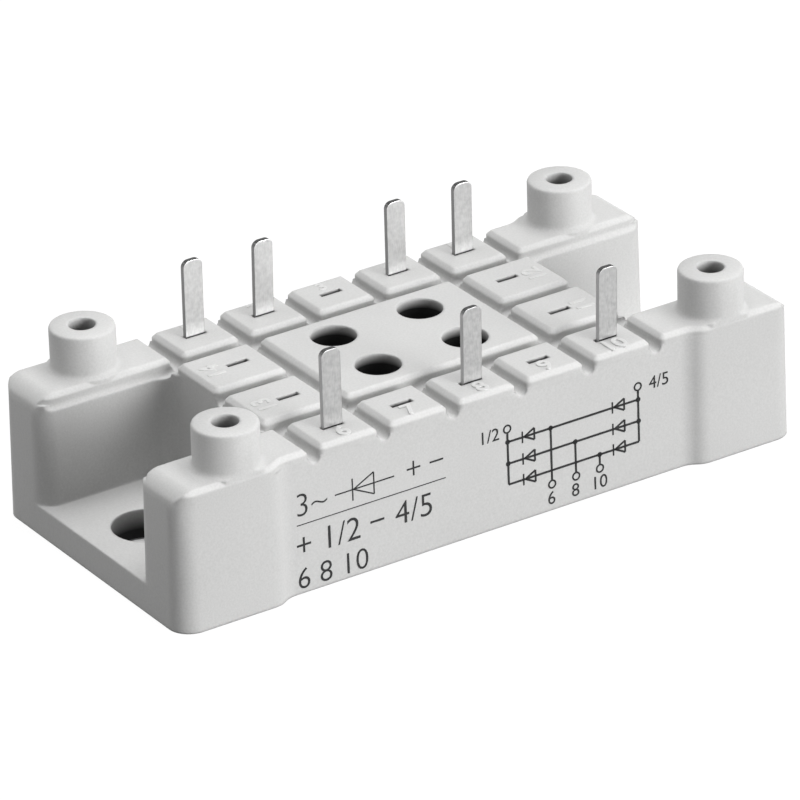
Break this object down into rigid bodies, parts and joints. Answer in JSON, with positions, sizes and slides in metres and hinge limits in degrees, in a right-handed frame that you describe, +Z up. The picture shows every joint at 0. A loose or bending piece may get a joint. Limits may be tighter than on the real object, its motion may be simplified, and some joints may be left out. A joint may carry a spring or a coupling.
{
  "type": "bridge rectifier",
  "caption": "Three-phase bridge rectifier in a flat moulded housing with screw recesses at both ends, board bosses at its corners and upright blade pins in slotted tiles.",
  "frame": {"origin": "centre of the flat underside that meets the heat sink", "axes": "+X along the housing, +Y away from the printed side face, +Z up along the pins"},
  "size_m": [0.068, 0.0312, 0.022],
  "materials": {
    "housing": "fine grained, light grey",
    "copper": "satin copper",
    "clip_copper": "bright copper",
    "ceramic": "fired, unglazed",
    "silicon": "polished dark grey",
    "tin": "tinned, drawn",
    "gel": "clear soft gel"
  },
  "bodies": {
    "root": {"housing": "housing", "base_copper": "copper", "ceramic_plate": "ceramic", "pad_plus": "copper", "pad_minus": "copper", "silicone_gel": "gel", "pad_ac_6": "copper", "chip_plus_6": "silicon", "clip_plus_6": "clip_copper", "chip_minus_6": "silicon", "clip_minus_6": "clip_copper", "pad_ac_8": "copper", "chip_plus_8": "silicon", "clip_plus_8": "clip_copper", "chip_minus_8": "silicon", "clip_minus_8": "clip_copper", "pad_ac_10": "copper", "chip_plus_10": "silicon", "clip_plus_10": "clip_copper", "chip_minus_10": "silicon", "clip_minus_10": "clip_copper", "pin_1": "tin", "pin_2": "tin", "pin_4": "tin", "pin_5": "tin", "pin_6": "tin", "pin_8": "tin", "pin_10": "tin"}
  },
  "joints": []
}
